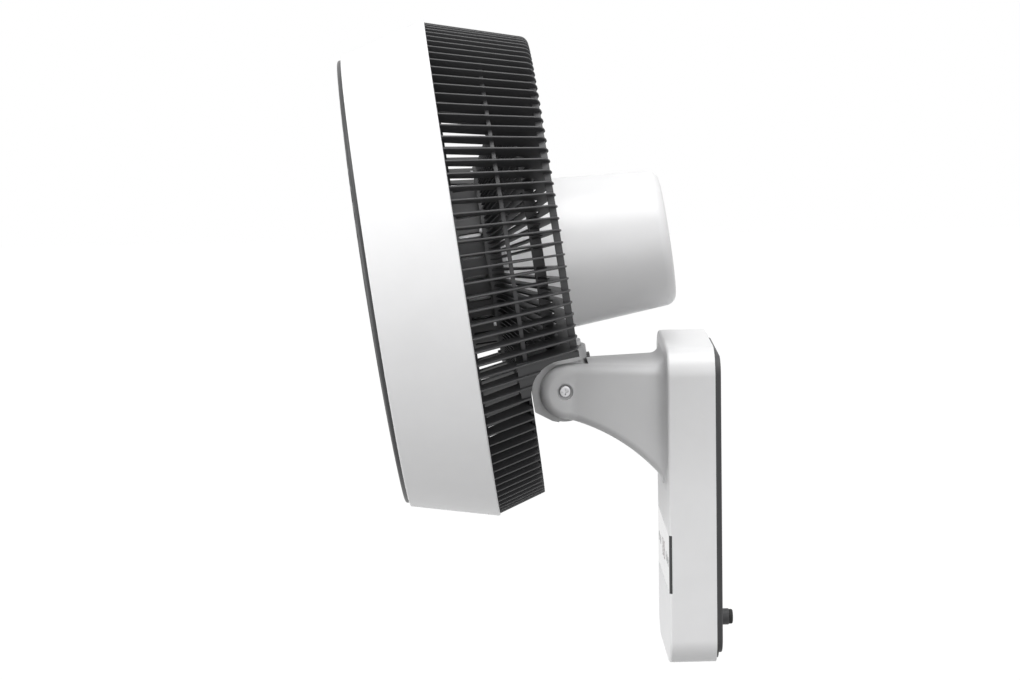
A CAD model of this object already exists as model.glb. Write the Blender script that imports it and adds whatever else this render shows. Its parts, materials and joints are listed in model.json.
"""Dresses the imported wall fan: smooth shells, ribbed cage, spiral grille, finishes and studio.

Lengths in this file are millimetres on a station, which is a place and three directions read from
the frame's joints. Meshes are written in metres in the row frame, and so is the studio.
"""
import json
import logging
import math
from dataclasses import dataclass
from enum import Enum
from functools import cache
from typing import Callable, Iterable, Sequence

import bmesh
import bpy
from mathutils import Matrix, Vector


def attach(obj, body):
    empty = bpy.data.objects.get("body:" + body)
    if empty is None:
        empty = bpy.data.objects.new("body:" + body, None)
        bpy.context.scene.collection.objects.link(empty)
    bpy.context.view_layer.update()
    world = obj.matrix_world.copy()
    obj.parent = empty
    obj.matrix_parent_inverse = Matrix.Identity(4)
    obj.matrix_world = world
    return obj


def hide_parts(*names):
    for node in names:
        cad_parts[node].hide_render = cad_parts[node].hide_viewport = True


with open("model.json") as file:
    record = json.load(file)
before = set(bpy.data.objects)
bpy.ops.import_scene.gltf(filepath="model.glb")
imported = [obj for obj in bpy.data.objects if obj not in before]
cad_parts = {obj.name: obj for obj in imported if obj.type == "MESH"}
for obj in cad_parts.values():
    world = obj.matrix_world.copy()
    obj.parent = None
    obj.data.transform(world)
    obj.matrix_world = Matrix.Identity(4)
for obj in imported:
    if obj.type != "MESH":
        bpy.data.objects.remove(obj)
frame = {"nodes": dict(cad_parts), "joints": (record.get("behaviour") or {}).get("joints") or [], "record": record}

MM = 0.001
SIDE = Vector((1.0, 0.0, 0.0))
MERGE = 1e-7
CARRIED_MERGE = 2e-6
FLAT = math.radians(0.4)
WHITE_LIGHT = (1, 1, 1, 1)
LOG = logging.getLogger("wall_fan")
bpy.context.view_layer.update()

Point = tuple[float, float, float]
Outline = list[tuple[float, float]]
Piece = bpy.types.Object
Material = bpy.types.Material


class Body(Enum):
    """The bodies that pieces ride on."""

    WALL = "wall_unit"
    KNUCKLE = "knuckle"
    HEAD = "head"
    ROTOR = "rotor"


# ---------------------------------------------------------------- stations


@dataclass(frozen=True)
class Station:
    """A place with directions up, along and to the side, which is +X unless it is turned."""

    origin: Vector
    up: Vector
    along: Vector
    side: Vector = SIDE

    def at(self, side: float, up: float, along: float) -> Vector:
        """Returns the row-frame point, in metres, of a local point in millimetres."""
        return self.origin + (self.side * side + self.up * up + self.along * along) * MM

    def turned(self, angle: float) -> "Station":
        """Returns the station turned about its axis, from up towards the near side."""
        cosine, sine = math.cos(angle), math.sin(angle)
        return Station(self.origin, self.up * cosine + self.side * sine, self.along,
                       self.side * cosine - self.up * sine)

    def moved_to(self, origin: Vector) -> "Station":
        """Returns the station with another origin."""
        return Station(origin, self.up, self.along, self.side)

    def round_axis(self, radius: float, angle: float, along: float) -> Vector:
        """Returns the point at a radius and an angle from up, turning towards the near side."""
        return self.at(radius * math.sin(angle), radius * math.cos(angle), along)


def joint_named(name: str) -> dict:
    """Returns the frame's joint of that name."""
    return next(joint for joint in frame["joints"] if joint["name"] == name)


def wall_station() -> Station:
    """Returns the station on the wall, at the middle of the back plate."""
    return Station(Vector((0, 0, 0)), Vector((0, 0, 1)), Vector((0, 1, 0)))


def head_station() -> Station:
    """Returns the station in the shroud's rear plane, with along rearwards on the fan's axis."""
    spin = joint_named("fan_spin")
    along = Vector(spin["axis"]).normalized()
    return Station(Vector(spin["pos_m"]), SIDE.cross(along), along)


def pivot_station() -> Station:
    """Returns the station at the tilt pivot, turned as the head is."""
    return head_station().moved_to(Vector(joint_named("tilt")["pos_m"]))


# ---------------------------------------------------------------- outlines


def rounded(corners: Sequence[Point], steps: int = 5, closed: bool = True) -> Outline:
    """Rounds a polygon's corners.

    Args:
        corners: (x, y, radius) of each corner, in order.
        steps: segments in each arc.
        closed: whether the last corner joins the first.

    Returns:
        The outline's points.
    """
    points: Outline = []
    count = len(corners)
    for index, (x, y, radius) in enumerate(corners):
        inner = 0 < index < count - 1 or closed
        if radius <= 0 or not inner:
            points.append((x, y))
            continue
        here = Vector((x, y))
        back = (Vector(corners[index - 1][:2]) - here).normalized()
        ahead = (Vector(corners[(index + 1) % count][:2]) - here).normalized()
        half = back.angle(ahead) / 2
        middle = here + (back + ahead).normalized() * (radius / math.sin(half))
        start = here + back * (radius / math.tan(half)) - middle
        end = here + ahead * (radius / math.tan(half)) - middle
        turn = start.angle_signed(end)
        for step in range(steps + 1):
            points.append(tuple(middle + Matrix.Rotation(-turn * step / steps, 2) @ start))
    return points


def rounded_rectangle(width: float, height: float, radius: float, steps: int = 8) -> Outline:
    """Makes a rectangle about the origin with rounded corners.

    Args:
        width: its whole width.
        height: its whole height.
        radius: the corners' radius.
        steps: segments in each corner.

    Returns:
        The outline's points.
    """
    half_w, half_h = width / 2, height / 2
    corners = [(half_w, half_h, radius), (-half_w, half_h, radius),
               (-half_w, -half_h, radius), (half_w, -half_h, radius)]
    return rounded(corners, steps)


# ---------------------------------------------------------------- meshes


class Shape:
    """A mesh that is being built on a station."""

    def __init__(self, station: Station) -> None:
        """Starts an empty mesh on a station."""
        self.station = station
        self.mesh = bmesh.new()

    def loft(self, loops: Sequence[Sequence[Point]], capped: bool = True) -> "Shape":
        """Joins closed loops of equal length into a tube.

        Args:
            loops: the loops' points as (side, up, along).
            capped: whether the two ends get a face.

        Returns:
            The shape itself.
        """
        rows = [[self.mesh.verts.new(self.station.at(*point)) for point in loop] for loop in loops]
        size = len(rows[0])
        for low, high in zip(rows, rows[1:]):
            for k in range(size):
                after = (k + 1) % size
                self.mesh.faces.new((low[k], low[after], high[after], high[k]))
        if capped:
            self.mesh.faces.new(rows[0])
            self.mesh.faces.new(rows[-1])
        return self

    def lathe(self, profile: Outline, segments: int = 192) -> "Shape":
        """Turns a closed profile of (radius, along) about the station's axis.

        Args:
            profile: the profile's points; those at radius 0 become poles.
            segments: faces round the axis.

        Returns:
            The shape itself.
        """
        turns = [2 * math.pi * k / segments for k in range(segments)]
        rings = []
        for radius, along in profile:
            if radius == 0:
                rings.append([self.mesh.verts.new(self.station.at(0, 0, along))])
                continue
            rings.append([self.mesh.verts.new(self.station.round_axis(radius, turn, along))
                          for turn in turns])
        for low, high in zip(rings, rings[1:] + rings[:1]):
            if len(low) == 1 and len(high) == 1:
                continue
            for k in range(segments):
                after = (k + 1) % segments
                corners = [low[k % len(low)], low[after % len(low)],
                           high[after % len(high)], high[k % len(high)]]
                self.mesh.faces.new(dict.fromkeys(corners))
        return self

    def prism(self, outline: Outline, start: float, end: float,
              place: Callable[[float, float, float], Point], bevel: float = 0.0) -> "Shape":
        """Extrudes an outline between two heights, with its rims drawn in by a small bevel.

        Args:
            outline: the section.
            start: height of the first end.
            end: height of the last end.
            place: turns (x, y, height) into (side, up, along).
            bevel: how far each rim is drawn in and down.

        Returns:
            The shape itself.
        """
        step = math.copysign(bevel, end - start)
        levels = [(start, 0.0), (end, 0.0)]
        if bevel:
            levels = [(start, bevel), (start + step, 0.0), (end - step, 0.0), (end, bevel)]
        return self.loft([[place(x, y, height) for x, y in drawn_in(outline, inset)]
                          for height, inset in levels])

    def build(self, name: str, crease: float = 32.0, weighted: bool = True) -> Piece:
        """Turns the shape into an object with smooth faces and creased edges.

        Args:
            name: the piece's name.
            crease: angle in degrees over which an edge stays sharp.
            weighted: whether large faces pull the normals of their corners.

        Returns:
            The new object, linked to the scene.
        """
        bmesh.ops.remove_doubles(self.mesh, verts=self.mesh.verts, dist=MERGE)
        bmesh.ops.recalc_face_normals(self.mesh, faces=self.mesh.faces)
        mesh = bpy.data.meshes.new(name)
        self.mesh.to_mesh(mesh)
        self.mesh.free()
        return linked(name, creased(mesh, crease), weighted)


def drawn_in(outline: Outline, inset: float, least_lean: float = 0.3) -> Outline:
    """Moves an outline inwards along its corners' bisectors.

    Args:
        outline: the outline, either way round.
        inset: how far its edges move.
        least_lean: keeps the sharpest corners from running away.

    Returns:
        The moved outline.
    """
    if inset == 0:
        return list(outline)
    area = sum(a[0] * b[1] - b[0] * a[1] for a, b in zip(outline, outline[1:] + outline[:1]))
    turn = 1.0 if area > 0 else -1.0
    moved = []
    for index, point in enumerate(outline):
        before = Vector(point) - Vector(outline[index - 1])
        after = Vector(outline[(index + 1) % len(outline)]) - Vector(point)
        normals = [Vector((-edge.y, edge.x)).normalized() * turn for edge in (before, after)]
        bisector = (normals[0] + normals[1]).normalized()
        reach = inset / max(least_lean, bisector.dot(normals[0]))
        moved.append((point[0] + bisector.x * reach, point[1] + bisector.y * reach))
    return moved


def creased(mesh: bpy.types.Mesh, crease: float) -> bpy.types.Mesh:
    """Makes a mesh smooth but for its edges over an angle in degrees, and returns it."""
    mesh.shade_smooth()
    mesh.set_sharp_from_angle(angle=math.radians(crease))
    return mesh


def linked(name: str, mesh: bpy.types.Mesh, weighted: bool = True) -> Piece:
    """Links a new object that holds a mesh.

    Args:
        name: the object's name.
        mesh: its mesh.
        weighted: whether it gets weighted normals.

    Returns:
        The new object.
    """
    piece = bpy.data.objects.new(name, mesh)
    bpy.context.scene.collection.objects.link(piece)
    if weighted:
        add_weighted_normals(piece)
    return piece


def add_weighted_normals(piece: Piece) -> None:
    """Lets a piece's large faces pull the normals of their corners."""
    normals = piece.modifiers.new("face_weighted_normals", "WEIGHTED_NORMAL")
    normals.keep_sharp = True
    normals.weight = 80


def settled(piece: Piece) -> Piece:
    """Turns a piece's modifiers into plain mesh.

    Args:
        piece: the piece, which keeps its name.

    Returns:
        The piece.
    """
    depsgraph = bpy.context.evaluated_depsgraph_get()
    mesh = bpy.data.meshes.new_from_object(piece.evaluated_get(depsgraph), depsgraph=depsgraph)
    piece.modifiers.clear()
    piece.data = mesh
    return piece


def carved(piece: Piece, tool: Piece, keep_inside: bool = False) -> Piece:
    """Cuts one piece by another.

    Args:
        piece: what is cut.
        tool: what cuts it, which is then deleted.
        keep_inside: whether the part inside the tool stays, not the part outside it.

    Returns:
        The cut piece.
    """
    cut = piece.modifiers.new("cut", "BOOLEAN")
    cut.operation = "INTERSECT" if keep_inside else "DIFFERENCE"
    cut.solver = "EXACT"
    cut.object = tool
    settled(piece)
    bpy.data.objects.remove(tool)
    return piece


def joined(name: str, parts: Iterable[Piece], crease: float = 32.0) -> Piece:
    """Joins the meshes of several objects into one new object, and deletes them.

    Args:
        name: the new piece's name.
        parts: the objects to join.
        crease: angle in degrees over which an edge stays sharp.

    Returns:
        The new object.
    """
    whole = bmesh.new()
    for part in parts:
        whole.from_mesh(part.data)
        bpy.data.objects.remove(part)
    mesh = bpy.data.meshes.new(name)
    whole.to_mesh(mesh)
    whole.free()
    return linked(name, creased(mesh, crease))


def shell_copy(node: str, bevel: float = 0.0, crease: float = 28.0) -> Piece:
    """Copies a carried node as one smooth skin with eased edges.

    Args:
        node: the node's name.
        bevel: width in millimetres of the facet along each sharp edge.
        crease: angle in degrees over which an edge is sharp.

    Returns:
        The new piece.
    """
    skin = bmesh.new()
    skin.from_mesh(frame["nodes"][node].data)
    bmesh.ops.remove_doubles(skin, verts=skin.verts, dist=CARRIED_MERGE)
    bmesh.ops.dissolve_limit(skin, angle_limit=FLAT, verts=skin.verts, edges=skin.edges)
    mesh = bpy.data.meshes.new(node)
    skin.to_mesh(mesh)
    skin.free()
    piece = linked(f"{node}_skin", creased(mesh, crease), weighted=False)
    if bevel:
        easing = piece.modifiers.new("eased_edges", "BEVEL")
        easing.width = bevel * MM
        easing.segments = 2
        easing.limit_method = "ANGLE"
        easing.angle_limit = math.radians(crease)
        settled(piece)
        creased(piece.data, 50.0)
    add_weighted_normals(piece)
    return piece


# ---------------------------------------------------------------- node graphs


class Wire:
    """An output socket that takes part in Python arithmetic by adding Math nodes."""

    def __init__(self, graph: "Graph", socket: bpy.types.NodeSocket) -> None:
        """Keeps one output socket of a graph."""
        self.graph = graph
        self.socket = socket

    def _math(self, operation: str, *values: "Wire | float") -> "Wire":
        """Adds a Math node over values and returns its output."""
        settings = {"operation": operation}
        return self.graph.add("ShaderNodeMath", settings, dict(enumerate(values)))[0]

    def __add__(self, other: "Wire | float") -> "Wire":
        """Returns the sum."""
        return self._math("ADD", self, other)

    __radd__ = __add__

    def __sub__(self, other: "Wire | float") -> "Wire":
        """Returns the difference."""
        return self._math("SUBTRACT", self, other)

    def __rsub__(self, other: float) -> "Wire":
        """Returns a number less this wire."""
        return self._math("SUBTRACT", other, self)

    def __mul__(self, other: "Wire | float") -> "Wire":
        """Returns the product."""
        return self._math("MULTIPLY", self, other)

    __rmul__ = __mul__

    def __truediv__(self, other: "Wire | float") -> "Wire":
        """Returns the quotient."""
        return self._math("DIVIDE", self, other)

    def sine(self) -> "Wire":
        """Returns the sine of an angle in radians."""
        return self._math("SINE", self)

    def over(self, other: "Wire | float") -> "Wire":
        """Returns the greater of two values."""
        return self._math("MAXIMUM", self, other)

    def ramp(self, low: float, high: float) -> "Wire":
        """Returns a smooth step from 0 at low to 1 at high."""
        settings = {"interpolation_type": "SMOOTHSTEP"}
        values = {"Value": self, "From Min": low, "From Max": high}
        return self.graph.add("ShaderNodeMapRange", settings, values)[0]


class Outputs:
    """The outputs of a node, by name or number."""

    def __init__(self, graph: "Graph", node: bpy.types.Node) -> None:
        """Keeps one node of a graph."""
        self.graph = graph
        self.node = node

    def __getitem__(self, key: "str | int") -> Wire:
        """Returns one output as a wire."""
        return Wire(self.graph, self.node.outputs[key])


class Graph:
    """A node tree with one way to add a node."""

    def __init__(self, tree: bpy.types.NodeTree) -> None:
        """Keeps the tree that nodes are added to."""
        self.tree = tree

    def add(self, kind: str, settings: dict | None = None, values: dict | None = None) -> Outputs:
        """Adds a node.

        Args:
            kind: the node's type.
            settings: its properties, which are set first.
            values: what its inputs hold, by name or number: a wire, a number, a colour or a vector.

        Returns:
            The node's outputs.
        """
        node = self.tree.nodes.new(kind)
        for name, value in (settings or {}).items():
            setattr(node, name, value)
        for key, value in (values or {}).items():
            if isinstance(value, Wire):
                self.tree.links.new(value.socket, node.inputs[key])
            else:
                node.inputs[key].default_value = value
        return Outputs(self, node)

    def blend(self, share: "Wire | float", first: "Wire | Point", second: "Wire | Point") -> Wire:
        """Returns a mix of two colours."""
        low, high = (value if isinstance(value, Wire) else (*value, 1.0)
                     for value in (first, second))
        return self.add("ShaderNodeMix", {"data_type": "RGBA"}, {0: share, 6: low, 7: high})[2]

    def plain_sight(self) -> Wire:
        """Returns 1 for rays from the camera, reflections and clear parts, and 0 for light."""
        path = self.add("ShaderNodeLightPath")
        seen = path["Is Camera Ray"].over(path["Is Glossy Ray"])
        return seen.over(path["Is Transmission Ray"])


class Paint(Graph):
    """A material's graph, with the textures and the surface that the finishes share."""

    def __init__(self, name: str) -> None:
        """Starts a new material whose textures read the piece's own coordinates.

        Args:
            name: the material's name.
        """
        self.material = bpy.data.materials.new(name)
        self.material.use_nodes = True
        super().__init__(self.material.node_tree)
        self.tree.nodes.clear()
        self.place = self.add("ShaderNodeTexCoord")["Object"]

    def noise(self, size: float, detail: float = 2.0, stretch: Point = (1.0, 1.0, 1.0)) -> Wire:
        """Returns soft noise whose features are about size millimetres, drawn out by stretch."""
        vector = self.add("ShaderNodeMapping", values={"Vector": self.place, "Scale": stretch})[0]
        values = {"Vector": vector, "Scale": 1 / (size * MM), "Detail": detail, "Roughness": 0.55}
        return self.add("ShaderNodeTexNoise", values=values)[0]

    def cells(self, size: float) -> Wire:
        """Returns the distance to the nearest of scattered points about size millimetres apart."""
        values = {"Vector": self.place, "Scale": 1 / (size * MM)}
        return self.add("ShaderNodeTexVoronoi", values=values)["Distance"]

    def bump(self, height: Wire, depth: float, after: Wire | None = None) -> Wire:
        """Turns a height into a normal.

        Args:
            height: the height, in 0 to 1.
            depth: the millimetres that a height of 1 stands for.
            after: the normal that it is added to.

        Returns:
            The normal.
        """
        values = {"Height": height, "Distance": depth * MM, "Strength": 1.0}
        if after:
            values["Normal"] = after
        return self.add("ShaderNodeBump", values=values)[0]

    def surface(self, inputs: "dict[str, Wire | float]") -> Material:
        """Ends the graph in one Principled surface.

        Args:
            inputs: what the surface's inputs hold, by name.

        Returns:
            The finished material.
        """
        shader = self.add("ShaderNodeBsdfPrincipled", values=inputs)[0]
        self.add("ShaderNodeOutputMaterial", values={"Surface": shader})
        return self.material


# ---------------------------------------------------------------- finishes


def scaled(colour: Point, factor: float) -> Point:
    """Returns a colour made lighter or darker."""
    return tuple(min(1.0, channel * factor) for channel in colour)


@dataclass(frozen=True)
class Finish:
    """What every finish has: its material's name, its slot in the record and its colour."""

    name: str
    slot: str
    colour: Point

    def inputs(self, paint: Paint) -> dict[str, Wire | float]:
        """Returns what the surface's inputs hold; each kind of finish says its own."""
        raise NotImplementedError


@dataclass(frozen=True)
class MouldedPlastic(Finish):
    """An injection-moulded plastic with a fine grain, soft flow marks and handling marks."""

    roughness: float
    grain_size: float = 0.5
    grain_depth: float = 0.012
    cloud: float = 0.05
    cloud_size: float = 38.0
    cloud_depth: float = 0.12
    flow_size: float = 9.0
    handled_size: float = 22.0
    unevenness: float = 0.05

    def inputs(self, paint: Paint) -> dict[str, Wire | float]:
        """Says what the surface's inputs hold.

        Args:
            paint: the graph that the textures are added to.

        Returns:
            The inputs' values, by name.
        """
        cloud = paint.noise(self.cloud_size, 3.0)
        flow = paint.noise(self.flow_size, 2.0, (1.0, 0.35, 1.0))
        grain = paint.cells(self.grain_size) + paint.noise(self.grain_size * 0.6) * 0.6
        handled = paint.noise(self.handled_size, 4.0).ramp(0.52, 0.74)
        dark = scaled(self.colour, 1 - self.cloud)
        pale = scaled(self.colour, 1 + self.cloud * 0.6)
        return {
            "Base Color": paint.blend(cloud * (1 - self.cloud) + flow * self.cloud, dark, pale),
            "Roughness": self.roughness + flow * self.unevenness + handled * self.unevenness,
            "Normal": paint.bump(grain, self.grain_depth, paint.bump(cloud, self.cloud_depth)),
            "Specular IOR Level": 0.5,
        }


@dataclass(frozen=True)
class PolishedBand(Finish):
    """A deep black, glass-clear band with faint wipe marks and dust under a hard coat."""

    roughness: float = 0.06
    dust_colour: Point = (0.08, 0.08, 0.085)
    dust_size: float = 1.6
    wipe_size: float = 14.0
    wave_size: float = 26.0

    def inputs(self, paint: Paint) -> dict[str, Wire | float]:
        """Says what the surface's inputs hold.

        Args:
            paint: the graph that the textures are added to.

        Returns:
            The inputs' values, by name.
        """
        wiped = paint.noise(self.wipe_size, 4.0, (0.4, 1.0, 1.0)).ramp(0.45, 0.8)
        dust = 1 - paint.cells(self.dust_size).ramp(0.02, 0.07)
        return {
            "Base Color": paint.blend(dust * 0.25, self.colour, self.dust_colour),
            "Roughness": self.roughness + wiped * 0.06 + dust * 0.2,
            "Normal": paint.bump(paint.noise(self.wave_size, 1.0), 0.02),
            "Coat Weight": 0.6,
            "Coat Roughness": 0.03,
        }


@dataclass(frozen=True)
class BareMetal(Finish):
    """A metal with a directional brushed or cast grain and small stains."""

    roughness: float
    stretch: Point = (1.0, 1.0, 1.0)
    grain_size: float = 0.35
    grain_depth: float = 0.01
    stain_size: float = 7.0
    stain_shade: float = 0.72

    def inputs(self, paint: Paint) -> dict[str, Wire | float]:
        """Says what the surface's inputs hold.

        Args:
            paint: the graph that the textures are added to.

        Returns:
            The inputs' values, by name.
        """
        grain = paint.noise(self.grain_size, 3.0, self.stretch)
        stain = paint.noise(self.stain_size, 4.0).ramp(0.42, 0.75)
        return {
            "Base Color": paint.blend(stain, self.colour, scaled(self.colour, self.stain_shade)),
            "Metallic": 1.0,
            "Roughness": self.roughness + grain * 0.14 + stain * 0.1,
            "Normal": paint.bump(grain, self.grain_depth),
        }


@dataclass(frozen=True)
class SoftRubber(Finish):
    """A matt rubber with a dusty bloom."""

    bloom_size: float = 5.0
    bloom_shade: float = 2.2
    pore_size: float = 0.4

    def inputs(self, paint: Paint) -> dict[str, Wire | float]:
        """Says what the surface's inputs hold.

        Args:
            paint: the graph that the textures are added to.

        Returns:
            The inputs' values, by name.
        """
        bloom = paint.noise(self.bloom_size, 4.0).ramp(0.4, 0.8)
        return {
            "Base Color": paint.blend(bloom, self.colour, scaled(self.colour, self.bloom_shade)),
            "Roughness": 0.72 + bloom * 0.14,
            "Normal": paint.bump(paint.cells(self.pore_size), 0.02),
        }


@dataclass(frozen=True)
class CircuitBoard(Finish):
    """A green solder mask with copper lanes under it and pale pads."""

    pad_colour: Point = (0.6, 0.6, 0.56)
    pad_size: float = 2.4
    lane_shade: float = 2.0

    def inputs(self, paint: Paint) -> dict[str, Wire | float]:
        """Says what the surface's inputs hold.

        Args:
            paint: the graph that the textures are added to.

        Returns:
            The inputs' values, by name.
        """
        lanes = paint.add("ShaderNodeTexBrick", {"offset": 0.5}, {
            "Vector": paint.place, "Scale": 160.0, "Mortar Size": 0.012,
            "Color1": (0, 0, 0, 1), "Color2": (0, 0, 0, 1), "Mortar": (1, 1, 1, 1)})["Fac"]
        pads = 1 - paint.cells(self.pad_size).ramp(0.16, 0.2)
        lit = paint.blend(lanes * 0.6, self.colour, scaled(self.colour, self.lane_shade))
        return {
            "Base Color": paint.blend(pads, lit, self.pad_colour),
            "Metallic": pads * 0.9,
            "Roughness": 0.34 + lanes * 0.1,
            "Normal": paint.bump(lanes + pads, 0.03),
        }


@dataclass(frozen=True)
class EnamelledWire(Finish):
    """Layers of enamelled copper wire, side by side."""

    wire: float = 0.6
    shade_size: float = 3.0

    def inputs(self, paint: Paint) -> dict[str, Wire | float]:
        """Says what the surface's inputs hold.

        Args:
            paint: the graph that the textures are added to.

        Returns:
            The inputs' values, by name.
        """
        along = paint.add("ShaderNodeSeparateXYZ", values={0: paint.place})[1]
        turn = (along * (2 * math.pi / (self.wire * MM))).sine()
        shade = paint.noise(self.shade_size, 3.0)
        return {
            "Base Color": paint.blend(shade, scaled(self.colour, 0.7), self.colour),
            "Metallic": 0.85,
            "Roughness": 0.28 + shade * 0.15,
            "Normal": paint.bump(turn * 0.5 + 0.5, 0.15),
            "Coat Weight": 0.5,
        }


WHITE = MouldedPlastic("white_satin_plastic", "white_plastic", (0.83, 0.83, 0.835), 0.30)
ARM_WHITE = MouldedPlastic("arm_satin_plastic", "white_plastic", (0.78, 0.78, 0.785), 0.36)
GREY = MouldedPlastic("light_grey_plastic", "grey_plastic", (0.62, 0.62, 0.625), 0.38)
CHARCOAL = MouldedPlastic("charcoal_plastic", "dark_plastic", (0.046, 0.046, 0.048), 0.40,
                          cloud=0.12)
PLATE = MouldedPlastic("plate_plastic", "plate_plastic", (0.062, 0.062, 0.064), 0.55,
                       grain_size=0.8, grain_depth=0.03, cloud=0.1)
NATURAL = MouldedPlastic("natural_nylon", "nylon", (0.74, 0.71, 0.62), 0.42, cloud=0.06)
FERRITE = MouldedPlastic("sintered_ferrite", "magnet", (0.06, 0.06, 0.065), 0.6,
                         grain_size=0.3, grain_depth=0.03, cloud=0.2)
DISPLAY = MouldedPlastic("display_block", "display", (0.11, 0.012, 0.012), 0.22, cloud=0.1)
MARK = PolishedBand("printed_mark", "black_panel", (0.16, 0.16, 0.165), 0.10)
BAND = PolishedBand("polished_band", "black_panel", (0.006, 0.006, 0.007))
STEEL = BareMetal("zinc_steel", "steel", (0.60, 0.60, 0.61), 0.26, stretch=(1.0, 1.0, 4.0))
CAST = BareMetal("cast_aluminium", "aluminium", (0.66, 0.66, 0.67), 0.42,
                 grain_size=0.9, grain_depth=0.05)
RUBBER = SoftRubber("black_rubber", "rubber", (0.018, 0.018, 0.018))
GREY_RUBBER = SoftRubber("grey_rubber", "rubber", (0.17, 0.17, 0.17))
BOARD = CircuitBoard("green_board", "board", (0.012, 0.10, 0.04))
COPPER = EnamelledWire("enamelled_copper", "copper", (0.62, 0.24, 0.10))
NODE_FINISHES = (WHITE, GREY, CHARCOAL, PLATE, NATURAL, FERRITE, DISPLAY, BAND, STEEL, CAST,
                 RUBBER, BOARD, COPPER)


@cache
def material_of(finish: Finish) -> Material:
    """Returns a finish's material, made once."""
    paint = Paint(finish.name)
    return paint.surface(finish.inputs(paint))


def fitted(piece: Piece, finish: Finish, body: Body, *replaced: str) -> Piece:
    """Gives a piece its finish, its body and the nodes that it stands for.

    Args:
        piece: the piece.
        finish: its finish.
        body: the body that it rides on.
        replaced: the nodes that it replaces.

    Returns:
        The piece.
    """
    piece.data.materials.clear()
    piece.data.materials.append(material_of(finish))
    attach(piece, body.value)
    if replaced:
        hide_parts(*replaced)
    LOG.info("%s rides on %s, %d faces", piece.name, body.value, len(piece.data.polygons))
    return piece


# ---------------------------------------------------------------- geometry nodes


class NodeArray:
    """Geometry nodes that turn copies of a mesh into one plain mesh with a finish."""

    def __init__(self, name: str, kinds: dict[str, str]) -> None:
        """Starts the tree.

        Args:
            name: the tree's name.
            kinds: the type of each named input, beside the mesh and the finish.
        """
        self.tree = bpy.data.node_groups.new(name, "GeometryNodeTree")
        self.graph = Graph(self.tree)
        face = self.tree.interface
        face.new_socket("Geometry", in_out="OUTPUT", socket_type="NodeSocketGeometry")
        face.new_socket("Geometry", in_out="INPUT", socket_type="NodeSocketGeometry")
        self.sockets = {}
        for label, kind in {**kinds, "Finish": "Material"}.items():
            socket = face.new_socket(label, in_out="INPUT", socket_type=f"NodeSocket{kind}")
            self.sockets[label] = socket.identifier
        self.given = self.graph.add("NodeGroupInput")

    def end(self, instances: Wire) -> None:
        """Ends the tree in plain mesh with the finish's material.

        Args:
            instances: the copies.
        """
        solid = self.graph.add("GeometryNodeRealizeInstances", values={"Geometry": instances})[0]
        values = {"Geometry": solid, "Material": self.given["Finish"]}
        painted = self.graph.add("GeometryNodeSetMaterial", values=values)[0]
        self.graph.add("NodeGroupOutput", values={"Geometry": painted})

    def applied(self, piece: Piece, finish: Finish, values: dict) -> Piece:
        """Runs the tree on a piece and makes the result plain mesh.

        Args:
            piece: the piece whose mesh goes in.
            finish: the finish that Set Material gives.
            values: what the named inputs hold.

        Returns:
            The piece.
        """
        array = piece.modifiers.new(self.tree.name, "NODES")
        array.node_group = self.tree
        for label, value in {**values, "Finish": material_of(finish)}.items():
            array[self.sockets[label]] = value
        return settled(piece)


class PolarArray(NodeArray):
    """Geometry nodes that repeat a piece's own mesh round an axis."""

    def __init__(self) -> None:
        """Builds the tree: duplicates, each turned further round the axis."""
        super().__init__("polar_array", {"Count": "Int", "Sweep": "Float", "Axis": "Vector",
                                         "Centre": "Vector"})
        graph, given = self.graph, self.given
        whole = graph.add("GeometryNodeGeometryToInstance", values={0: given["Geometry"]})[0]
        copies = graph.add("GeometryNodeDuplicateElements", {"domain": "INSTANCE"},
                           {"Geometry": whole, "Amount": given["Count"]})
        angle = copies["Duplicate Index"] * given["Sweep"] / given["Count"]
        turn = graph.add("FunctionNodeAxisAngleToRotation",
                         values={"Axis": given["Axis"], "Angle": angle})[0]
        self.end(graph.add("GeometryNodeRotateInstances", values={
            "Instances": copies["Geometry"], "Rotation": turn, "Pivot Point": given["Centre"],
            "Local Space": False})[0])

    def repeat(self, piece: Piece, station: Station, count: int, finish: Finish,
               sweep: float = 2 * math.pi) -> Piece:
        """Repeats a piece round a station's axis.

        Args:
            piece: the first copy.
            station: its axis runs along.
            count: number of copies.
            finish: the finish of the copies.
            sweep: the angle that the copies share out.

        Returns:
            The piece, with all the copies in its mesh.
        """
        return self.applied(piece, finish, {"Count": count, "Sweep": sweep, "Axis": station.along,
                                            "Centre": station.origin})


class PointArray(NodeArray):
    """Geometry nodes that put a copy of a tool piece on each vertex of a piece."""

    def __init__(self) -> None:
        """Builds the tree: one instance on each point."""
        super().__init__("point_array", {"Copy": "Object", "Scale": "Float"})
        copy = self.graph.add("GeometryNodeObjectInfo",
                              values={"Object": self.given["Copy"], "As Instance": True})
        self.end(self.graph.add("GeometryNodeInstanceOnPoints", values={
            "Points": self.given["Geometry"], "Instance": copy["Geometry"],
            "Scale": self.given["Scale"]})[0])

    def scatter(self, piece: Piece, spots: Sequence[Vector], finish: Finish) -> Piece:
        """Puts copies of a piece at spots.

        Args:
            piece: the piece about the origin, which is then deleted.
            spots: where the copies go.
            finish: the finish of the copies.

        Returns:
            The copies as one piece.
        """
        mesh = bpy.data.meshes.new("spots")
        mesh.from_pydata([tuple(spot) for spot in spots], [], [])
        copies = self.applied(linked(f"{piece.name}_copies", mesh, weighted=False), finish,
                              {"Copy": piece, "Scale": 1.0})
        bpy.data.objects.remove(piece)
        return copies


@cache
def polar_array() -> PolarArray:
    """Returns the one polar array tree."""
    return PolarArray()


@cache
def point_array() -> PointArray:
    """Returns the one point array tree."""
    return PointArray()


# ---------------------------------------------------------------- head


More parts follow.
